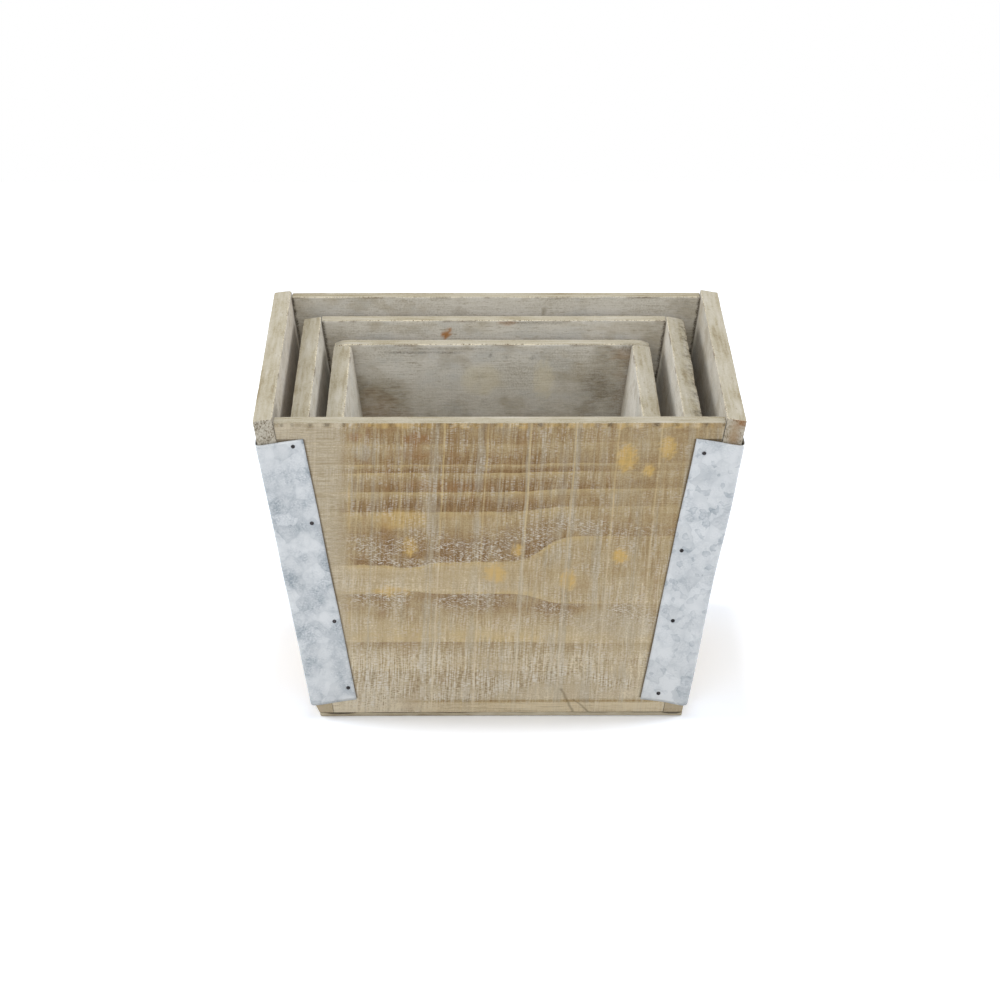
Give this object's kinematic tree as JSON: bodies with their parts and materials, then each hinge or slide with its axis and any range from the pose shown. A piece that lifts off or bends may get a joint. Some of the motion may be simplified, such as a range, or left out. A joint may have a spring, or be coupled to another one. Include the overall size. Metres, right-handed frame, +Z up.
{
  "type": "nesting wooden planter boxes",
  "caption": "Nest of tapered, open-topped wooden planter boxes with sheet-metal corner straps; each box stands loose inside the next and lifts out.",
  "frame": {"origin": "middle of the large box's underside, on the surface it stands on", "axes": "+X along the width (to the right seen from the front), +Y from the front to the back, +Z up"},
  "size_m": [0.27, 0.2246, 0.1937],
  "materials": {
    "grey_washed_wood": "rough-sawn, thin grey wash",
    "thin_plywood": "rough, unfinished",
    "galvanised_sheet": "dull zinc with faint spangle",
    "dark_nails": "dark, dull",
    "plain_steel_pins": "bare"
  },
  "bodies": {
    "large_box": {"large_front_board": "grey_washed_wood", "large_back_board": "grey_washed_wood", "large_left_board": "grey_washed_wood", "large_right_board": "grey_washed_wood", "large_base_sheet": "thin_plywood", "large_strap_front_left": "galvanised_sheet", "large_strap_front_right": "galvanised_sheet", "large_strap_back_left": "galvanised_sheet", "large_strap_back_right": "galvanised_sheet", "large_strap_nails": "dark_nails", "large_wall_pins": "plain_steel_pins", "large_base_nails": "plain_steel_pins"},
    "medium_box": {"medium_front_board": "grey_washed_wood", "medium_back_board": "grey_washed_wood", "medium_left_board": "grey_washed_wood", "medium_right_board": "grey_washed_wood", "medium_base_sheet": "thin_plywood", "medium_strap_front_left": "galvanised_sheet", "medium_strap_front_right": "galvanised_sheet", "medium_strap_back_left": "galvanised_sheet", "medium_strap_back_right": "galvanised_sheet", "medium_strap_nails": "dark_nails", "medium_wall_pins": "plain_steel_pins", "medium_base_nails": "plain_steel_pins"},
    "small_box": {"small_front_board": "grey_washed_wood", "small_back_board": "grey_washed_wood", "small_left_board": "grey_washed_wood", "small_right_board": "grey_washed_wood", "small_base_sheet": "thin_plywood", "small_strap_front_left": "galvanised_sheet", "small_strap_front_right": "galvanised_sheet", "small_strap_back_left": "galvanised_sheet", "small_strap_back_right": "galvanised_sheet", "small_strap_nails": "dark_nails", "small_wall_pins": "plain_steel_pins", "small_base_nails": "plain_steel_pins"}
  },
  "joints": [
    {"name": "medium_lift", "type": "slide", "parent": "large_box", "child": "medium_box", "axis": [0, 0, 1], "range_m": [0, 0.2]},
    {"name": "small_lift", "type": "slide", "parent": "medium_box", "child": "small_box", "axis": [0, 0, 1], "range_m": [0, 0.19]}
  ]
}
